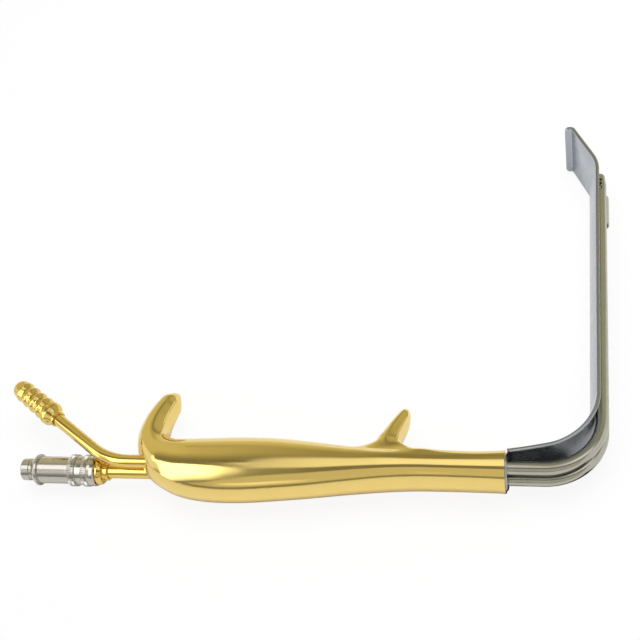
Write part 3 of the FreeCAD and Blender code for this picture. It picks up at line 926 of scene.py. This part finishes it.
@dataclass
class Fittings:
    """Gold rear tube with its hose barb, and the light post with its collar."""

    heel: float = -150.0
    tube_rise: float = 35.5
    tube_bend: float = 30.0
    tube_run: float = 4.7
    tube_tail: float = 30.5
    barb_length: float = 28.8
    first_ridge: float = 10.0
    ridge_pitch: float = 4.6
    ridges: int = 4
    socket: float = 6.0
    post_radius: float = 3.0
    post_front: float = -132.0
    post_end: float = -171.0
    nipple_end: float = -175.2

    def build_tube(self, finish: Material) -> None:
        """Builds the suction tube from inside the handle to the barb.

        Args:
            finish: The plated brass.
        """
        straight = TUBE_START - self.heel + self.tube_run
        legs = ((straight, -self.tube_rise, self.tube_bend), (self.tube_tail, 0.0, 0.0))
        Tube("suction_tube_to_barb", "suction_tube_rear", Slot.GOLD, 180.0, SUCTION_Z,
             legs).build(finish)

    def barb_seat(self) -> Matrix:
        """Works out where the barb sits on the rear tube.

        Returns:
            The transform from its turning axis to its place.
        """
        angle = math.radians(self.tube_rise)
        bend_end = Vector((self.heel - self.tube_run - math.sin(angle) * self.tube_bend,
                           BORE_HEIGHT + (1 - math.cos(angle)) * self.tube_bend, SUCTION_Z))
        direction = heading_of(math.pi - angle)
        return along_axis(bend_end + direction * (self.tube_tail - self.socket), direction)

    def build_barb(self, finish: Material) -> None:
        """Builds the hose barb with its flange, grooved collar and ridges.

        Args:
            finish: The plated brass.
        """
        flange, root, collar, valley, nose, bore = 3.5, 3.3, 5.25, 4.0, 2.3, 1.8
        thick, hole = 1.2, TUBE_RADIUS + 0.04
        profile = [(0.0, hole), (0.0, flange), (thick, flange), (thick, root)]
        profile += [(thick + 2.8 * share, root + 1.85 * share) for share in (0.35, 0.7)]
        profile += [(4.0, 5.1), (5.0, collar), (5.2, 4.95), (5.5, 4.95), (5.7, 5.2), (6.6, 5.1),
                    (7.3, 4.4), (7.9, valley), (8.5, 4.3)]
        for index in range(self.ridges):
            peak, top = self.first_ridge + self.ridge_pitch * index, 4.95 - 0.1 * index
            profile += [(peak - 0.9, top - 0.3), (peak - 0.3, top), (peak + 0.35, top - 0.02),
                        (peak + 1.0, top - 0.25)]
            if index < self.ridges - 1:
                profile += [(peak + 1.9, valley + 0.1), (peak + 2.5, valley - 0.1),
                            (peak + 3.1, valley + 0.1)]
        start, shoulder = profile[-1]
        for step in range(1, 7):
            turn = math.pi / 12 * step
            profile.append((start + (self.barb_length - start) * math.sin(turn),
                            nose + (shoulder - nose) * math.cos(turn)))
        profile += [(self.barb_length, bore), (self.socket, bore), (self.socket, hole)]
        finished(turned(profile, self.barb_seat()), "hose_barb_turned", finish,
                 ("hose_barb",))

    def build_post(self, finish: Material) -> None:
        """Builds the light post and its flared collar.

        Args:
            finish: The plated brass.
        """
        end, flare = self.post_end, self.post_end + 3.3
        nipple, flange, neck, step = 5.2, 5.9, 3.6, 4.0
        bore, hole = self.post_radius - 0.5, self.post_radius + 0.03
        post = [(flare, bore), (flare, self.post_radius), (self.post_front, self.post_radius),
                (self.post_front, bore)]
        finished(turned(post, light_axis(), bevel=0.05), "light_post", finish,
                 ("light_post_tube",))
        collar = [
            (self.nipple_end, bore), (self.nipple_end, 4.9), (self.nipple_end + 0.3, nipple),
            (end, nipple), (end, flange), (end + 0.7, flange), (end + 1.5, 5.6), (end + 2.2, 5.15),
            (end + 2.4, neck), (flare + 0.35, neck), (flare + 0.35, step), (flare + 1.3, step),
            (flare + 1.3, hole), (flare, hole), (flare, bore)]
        finished(turned(collar, light_axis()), "light_post_flare", finish,
                 ("light_post_collar",))


@dataclass
class ExitHead:
    """The thicker housing at the end of the light tube, open over the exit window."""

    start: float = 129.0
    end: float = 146.0
    radius: float = 3.3
    round_edge: float = 1.4
    bore: float = 2.25
    hole: float = TUBE_RADIUS + 0.04
    offset: float = 0.5
    window_depth: float = 1.0
    corners: int = 48

    def build(self, finish: Material) -> None:
        """Builds the housing, with the bore through it set off from its axis.

        Args:
            finish: The drawn steel.
        """
        def circle(y: float, radius: float, x: float) -> list[Vector]:
            """Works out one round section across the housing."""
            return round_section(Vector((x, y, LIGHT_Z)), Vector((1, 0, 0)), radius, self.corners)

        axis, shoulder = TUBE_X + self.offset, self.end - self.round_edge
        sections = [circle(self.start + rise, self.radius - drop, axis)
                    for rise, drop in ((0.0, 0.25), (0.08, 0.08), (0.25, 0.0))]
        sections.append(circle(shoulder - 2.0, self.radius, axis))
        for step in range(7):
            turn = math.radians(15.0 * step)
            drop = self.round_edge * (1 - math.cos(turn)) * 0.7
            sections.append(circle(shoulder + self.round_edge * math.sin(turn),
                                   self.radius - drop, axis - self.offset * step / 12))
        floor = self.end - self.window_depth
        sections += [circle(y, radius, TUBE_X) for y, radius in (
            (self.end, self.bore), (floor, self.bore), (floor, self.hole), (self.start, self.hole))]
        finished(lofted(sections, hollow=True), "light_exit_housing", finish,
                 ("light_exit_head",))


@dataclass
class Adapters:
    """The two nickel light adapters, each with its captive knurled ring."""

    face: float = -175.3
    gap: float = 0.1
    teeth: int = 56
    ring_radius: float = 6.75
    knurl_depth: float = 0.35
    knurl_edge: float = 38.0
    play: float = 0.06
    inner_bore: float = 2.24
    inner_lip: float = 0.8
    inner_neck: float = 4.55
    inner_web: float = 1.1
    outer_bore: float = 2.84
    outer_lip: float = 0.55
    outer_neck: float = 4.2
    outer_web: float = 0.95
    barrel_length: float = 14.1

    def knurled(self, name: str, node: str, body: Body, bands: Sequence[tuple[float, float, bool]],
                finish: Material) -> None:
        """Builds a ring whose outside changes from straight knurling to smooth bands.

        Args:
            name: The piece's name.
            node: The CAD node that it stands for.
            body: The ring's body.
            bands: Place, radius and whether it is knurled, round the outside from front to rear
                and back through the bore.
            finish: The nickel plate.
        """
        count = self.teeth * 4
        sections = []
        for place, radius, cut in bands:
            points = []
            for step in range(count):
                turn = 2 * math.pi * step / count
                reach = radius - (self.knurl_depth if cut and step % 4 > 1 else 0.0)
                points.append(Vector((place, reach * math.cos(turn), reach * math.sin(turn))))
            sections.append(points)
        mesh = lofted(sections, hollow=True)
        mesh.transform(light_axis())
        piece = finished(mesh, name, finish, (node,), body, weighted=False)
        piece.data.set_sharp_from_angle(angle=math.radians(self.knurl_edge))

    def bodied(self, name: str, node: str, body: Body, profile: Sequence[tuple[float, float]],
               finish: Material) -> None:
        """Builds an adapter's turned body.

        Args:
            name: The piece's name.
            node: The CAD node that it stands for.
            body: The adapter's body.
            profile: Place and radius of its corners.
            finish: The nickel plate.
        """
        mesh = turned(profile, light_axis(), bevel=0.15)
        finished(mesh, name, finish, (node,), body)

    def build(self, finish: Material) -> None:
        """Builds both adapters and both rings.

        Args:
            finish: The nickel plate.
        """
        top, low = self.ring_radius, self.ring_radius - self.knurl_depth
        lip = self.face - self.inner_lip
        ring = lip - self.gap - self.inner_web
        band, rear = ring - self.gap, ring + 5.6
        spigot, end = band - 2.75, band - 4.35
        face = end - self.gap
        outer_lip = face - self.outer_lip
        start = outer_lip - self.gap - self.outer_web
        barrel = start - self.gap
        flange = barrel - self.barrel_length
        groove, nose = flange - 3.0, flange - 4.5
        tip = nose - 3.6
        hole, web = self.inner_neck + self.play, ring + self.inner_web
        outer_hole, outer_web, outer_rear = (
            self.outer_neck + self.play, start + self.outer_web, start + 3.3)
        self.bodied("inner_adapter_turned", "inner_adapter_body", Body.INNER_ADAPTER, [
            (self.face, self.inner_bore), (self.face, 5.2), (lip, 5.2), (lip, self.inner_neck),
            (band, self.inner_neck), (band, 6.2), (spigot, 6.2), (spigot, 4.95),
            (end + 0.2, 4.95), (end, 4.75), (end, self.inner_bore)], finish)
        self.knurled("inner_ring_knurled", "inner_coupling_ring", Body.INNER_RING, [
            (ring, hole, False), (ring, low - 0.05, False), (ring + 0.25, top, True),
            (ring + 2.5, top, True), (ring + 2.8, low, False), (ring + 3.1, 6.5, False),
            (rear - 0.35, 6.5, False), (rear, 6.15, False), (rear, 5.26, False),
            (web, 5.26, False), (web, hole, False)], finish)
        self.bodied("outer_adapter_turned", "outer_adapter_body", Body.OUTER_ADAPTER, [
            (face, self.outer_bore), (face, 4.85), (outer_lip, 4.85), (outer_lip, self.outer_neck),
            (barrel, self.outer_neck), (barrel, 5.7), (flange, 5.7), (flange, 6.64),
            (flange - 1.0, 6.64), (groove, 4.87), (groove, 4.2), (nose, 4.2), (nose, 4.67),
            (tip + 0.4, 4.67), (tip, 4.27), (tip, self.outer_bore)], finish)
        self.knurled("outer_ring_knurled", "outer_coupling_ring", Body.OUTER_RING, [
            (start, outer_hole, False), (start, low - 0.05, False), (start + 0.25, top, True),
            (start + 3.05, top, True), (outer_rear, low - 0.05, False), (outer_rear, 5.01, False),
            (outer_web, 5.01, False), (outer_web, outer_hole, False)], finish)


# Studio


@dataclass
class Card:
    """A curved studio panel that only reflections see, bent around the handle's axis.

    Its stations are places along the handle, each with the panel's lower and upper angle and its
    radiance there. Angles run from the near horizon at 0 over the top at 90 to the far horizon.
    """

    name: str
    stations: Sequence[tuple[float, float, float, float]]
    distance: float = 700.0
    colour: str = "#FFFFFF"
    edge: float = 1.0
    fades: tuple[float, float] = (0.0, 0.0)
    rows: int = 32

    def glow(self, full: float, above: float, below: float) -> float:
        """Works out the radiance near the panel's soft edges.

        Args:
            full: Its radiance away from the edges.
            above: Degrees above the lower edge.
            below: Degrees below the upper edge.

        Returns:
            The radiance there.
        """
        for gap, fade in zip((above, below), self.fades):
            if fade:
                share = min(gap / fade, 1.0)
                full *= self.edge + (1 - self.edge) * share * share * (3 - 2 * share)
        return full

    def build(self) -> None:
        """Hangs the card."""
        mesh = bmesh.new()
        radiance = mesh.verts.layers.float.new("radiance")
        spans = len(self.stations) - 1
        bmesh.ops.create_grid(mesh, x_segments=spans, y_segments=self.rows, size=1.0)
        for vert in mesh.verts:
            x, low, high, full = self.stations[round((vert.co.x + 1) / 2 * spans)]
            angle = low + (high - low) * (vert.co.y + 1) / 2
            turn = math.radians(angle)
            vert[radiance] = self.glow(full, angle - low, high - angle)
            vert.co = (x, -self.distance * math.cos(turn), self.distance * math.sin(turn))
        mesh.transform(SEAT.matrix())
        data = meshed(mesh, self.name)
        material, tree = new_tree(self.name + "_paper")
        level = add_node(tree, "ShaderNodeAttribute", attribute_name="radiance")
        show(tree, "ShaderNodeEmission",
             {"Color": linear(self.colour), "Strength": level.outputs["Fac"]})
        data.materials.append(material)
        piece = placed(self.name, data)
        piece.visible_camera = piece.visible_shadow = piece.visible_diffuse = False


def even(low: float, high: float, *levels: tuple[float, float]) -> list[tuple[float, ...]]:
    """Gives a card the same lower and upper angle at every station of place and radiance."""
    return [(x, low, high, full) for x, full in levels]


WARM_WHITE, CREAM = "#FFFCEC", "#FFF9D2"
CARDS = (
    Card("left_softbox", (
        (-1700, -28, 79, 3.0), (-900, -8, 79, 3.0), (-600, 14, 80, 3.0), (-400, 31, 83, 3.0),
        (-330, 37, 82, 2.2), (-285, 42, 77, 1.4), (-245, 47, 66, 0.75)),
        680.0, edge=0.33, fades=(26.0, 0.0)),
    Card("left_softbox_frame", (
        (-1700, -38, 93, 0.20), (-900, -16, 93, 0.20), (-600, 6, 93, 0.20), (-400, 25, 95, 0.22),
        (-330, 33, 95, 0.30), (-285, 37, 90, 0.45), (-245, 41, 78, 0.50)), 690.0),
    Card("fittings_light", even(68, 104, (-236, 1.9), (-201, 1.9)),
         45.0, edge=0.5, fades=(0.0, 10.0)),
    Card("fittings_shade", even(8, 66, (-236, 0.95), (-201, 0.95)),
         45.0, edge=0.3, fades=(30.0, 0.0)),
    # Painted shadow: a near-black sheet just under the blade and tubes, standing in for their
    # shadow on the floor where the blade and tubes reflect it.
    Card("shade_below_blade", even(-108, -66, (-2, 0.03), (45, 0.03)), 14.6),
    Card("overhead_softbox", (
        (-250, 74, 106, 0.66), (-215, 71, 112, 0.90), (-140, 68, 120, 1.10), (-80, 67, 124, 1.35),
        (-45, 67, 112, 1.10), (20, 67, 108, 0.90), (160, 67, 107, 0.95), (240, 67, 107, 1.40),
        (520, 67, 107, 1.30)), 680.0, edge=0.45, fades=(5.0, 14.0)),
    Card("overhead_shade", (
        (-270, 42, 72, 0.50), (-190, 48, 70, 0.30), (-140, 50, 69, 0.23), (900, 50, 69, 0.22)),
        690.0, WARM_WHITE),
    Card("front_strip", (
        (-330, 14, 21, 0.80), (-280, 15, 24, 1.10), (-170, 15, 24, 1.15), (-120, 12, 21, 0.85)),
        695.0),
    Card("front_card", even(8, 50, (-620, 0.48), (-420, 0.60), (-340, 0.70), (900, 0.70)),
         colour=WARM_WHITE),
    Card("table_edge", (
        (-620, -6, 8, 0.30), (-420, -1, 8, 0.27), (-140, -1, 8, 0.27), (900, 0, 6, 0.50)),
        colour=WARM_WHITE),
    Card("far_wall", even(
        92, 180, (-1700, 0.72), (-500, 0.72), (-420, 0.68), (-340, 0.60), (-260, 0.50),
        (-190, 0.42), (-140, 0.30), (-100, 0.27), (-60, 0.45), (100, 0.58), (900, 0.62)),
        710.0, CREAM, edge=0.36, fades=(38.0, 0.0)),
    Card("far_horizon", even(
        150, 180, (-420, 0.78), (-260, 0.78), (-190, 0.74), (-140, 0.50), (-100, 0.36),
        (-60, 0.45)),
        705.0, CREAM, edge=0.66, fades=(26.0, 0.0)),
)


@dataclass
class Studio:
    """Pale floor, white surround, soft lights, reflection cards and the camera."""

    floor_size: float = 14.0
    floor_share: float = 0.9
    floor_mirrored: float = 0.05
    camera_place: tuple[float, float, float] = (37.2262, -234.5429, 412.1796)
    camera_forward: tuple[float, float, float] = (-0.229537, 0.584035, -0.778598)
    camera_up: tuple[float, float, float] = (0.009811, 0.801305, 0.598176)
    lens: float = 67.5
    fill: float = 0.35
    key_place: tuple[float, float, float] = (0.1, 0.1, 1.1)
    key_size: tuple[float, float] = (0.9, 0.8)
    key_power: float = 10.0

    def build(self) -> None:
        """Lays the floor, hangs the cards and the light and sets the camera."""
        self.lay_floor()
        self.light_world()
        for card in CARDS:
            card.build()
        lamp = bpy.data.lights.new("soft_key", "AREA")
        lamp.shape, lamp.energy = "RECTANGLE", self.key_power
        lamp.size, lamp.size_y = self.key_size
        key = placed("soft_key", lamp)
        key.location = self.key_place
        key.visible_glossy = False
        self.set_camera()

    def seen_share(self, tree: NodeTree) -> NodeSocket:
        """Adds up the rays that see the white surround: camera, glossy and transmission rays.

        Args:
            tree: The node tree to add to.

        Returns:
            A socket that is 1 for those rays.
        """
        path = add_node(tree, "ShaderNodeLightPath").outputs
        seen = path["Is Camera Ray"]
        for kind in ("Is Glossy Ray", "Is Transmission Ray"):
            seen = add_node(tree, "ShaderNodeMath", {0: seen, 1: path[kind]},
                            operation="MAXIMUM").outputs[0]
        return seen

    def lay_floor(self) -> None:
        """Lays the pale floor, which keeps a faint shadow of the object."""
        sheet = bmesh.new()
        bmesh.ops.create_grid(sheet, x_segments=1, y_segments=1, size=self.floor_size / 2)
        material, tree = new_tree("matt_white_floor")
        noise = add_node(tree, "ShaderNodeTexNoise",
                         {"Vector": object_place(tree), "Scale": per_metre(30.0)})
        matt = add_node(tree, "ShaderNodeBsdfDiffuse",
                        {"Color": tinted(tree, noise.outputs[0], "#FBFBFB", "#FFFFFF")})
        glow = add_node(tree, "ShaderNodeEmission", {"Color": linear("#FFFFFF"), "Strength": 1.0})
        share = add_node(tree, "ShaderNodeMapRange", {
            "Value": add_node(tree, "ShaderNodeLightPath").outputs["Is Glossy Ray"],
            "To Min": self.floor_share, "To Max": self.floor_mirrored})
        seen = add_node(tree, "ShaderNodeMath", {0: self.seen_share(tree), 1: share.outputs[0]},
                        operation="MULTIPLY")
        show(tree, "ShaderNodeMixShader",
             {0: seen.outputs[0], 1: matt.outputs[0], 2: glow.outputs[0]})
        data = meshed(sheet, "studio_floor")
        data.materials.append(material)
        placed("studio_floor", data)

    def light_world(self) -> None:
        """Makes the surround white where it is seen, and a soft fill elsewhere."""
        world = bpy.data.worlds.new("studio_surround")
        world.use_nodes = True
        tree = world.node_tree
        tree.nodes.clear()
        strength = add_node(tree, "ShaderNodeMapRange",
                            {"Value": self.seen_share(tree), "To Min": self.fill, "To Max": 1.0})
        sky = add_node(tree, "ShaderNodeBackground",
                       {"Color": linear("#FFFFFF"), "Strength": strength.outputs[0]})
        add_node(tree, "ShaderNodeOutputWorld", {"Surface": sky.outputs[0]})
        bpy.context.scene.world = world

    def set_camera(self) -> None:
        """Sets the camera at the photograph's viewing angle."""
        data = bpy.data.cameras.new("camera")
        data.lens, data.sensor_width = self.lens, 36.0
        data.clip_start, data.clip_end = 0.01, 50.0
        forward = Vector(self.camera_forward).normalized()
        right = forward.cross(Vector(self.camera_up)).normalized()
        turn = Matrix((right, right.cross(forward), -forward)).transposed().to_4x4()
        camera = placed("camera", data)
        camera.matrix_world = Matrix.Translation(SEAT.matrix() @ Vector(self.camera_place)) @ turn
        bpy.context.scene.camera = camera
        bpy.context.scene.view_settings.view_transform = "Standard"


def dress_kept(finish: Material, *nodes: str) -> None:
    """Gives CAD pieces that keep their shape the finish of what they are made of.

    Args:
        finish: The material.
        nodes: The pieces' names.
    """
    for name in nodes:
        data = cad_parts[name].data
        data.materials.clear()
        data.materials.append(finish)
        LOG.info("%s keeps its CAD shape", name)


def main() -> None:
    """Builds every sub-assembly in order."""
    logging.basicConfig(level=logging.INFO, format="%(name)s %(message)s")
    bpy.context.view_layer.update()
    Studio().build()
    gold, turned_gold, satin, drawn, nickel = (
        finish.material() for finish in (GOLD, TURNED_GOLD, SATIN, DRAWN, NICKEL))
    Handle().build(gold)
    Blade().build(satin)
    front_tube("suction_tube_along_blade", "suction_tube_front", SUCTION_Z, end=140.0).build(drawn)
    front_tube("light_tube_along_blade", "light_guide_tube", LIGHT_Z, end=144.96).build(drawn)
    fittings = Fittings()
    fittings.build_tube(turned_gold)
    fittings.build_barb(turned_gold)
    fittings.build_post(turned_gold)
    ExitHead().build(drawn)
    Adapters().build(nickel)
    dress_kept(drawn, "suction_tip")
    dress_kept(satin, "front_plug")
    dress_kept(MACHINED.material(), "tang_block", "tang_rivets", "rear_bush", "suction_coupling",
               "bundle_ferrule")
    dress_kept(BRAZED.material(), "braze_beads")
    dress_kept(GLASS.material(), "light_exit_window", "inner_light_rod", "outer_light_rod")
    dress_kept(FIBRE.material(), "fibre_bundle")
    dress_kept(SILICONE.material(), "bundle_sleeve")


if __name__ == "__main__":
    main()
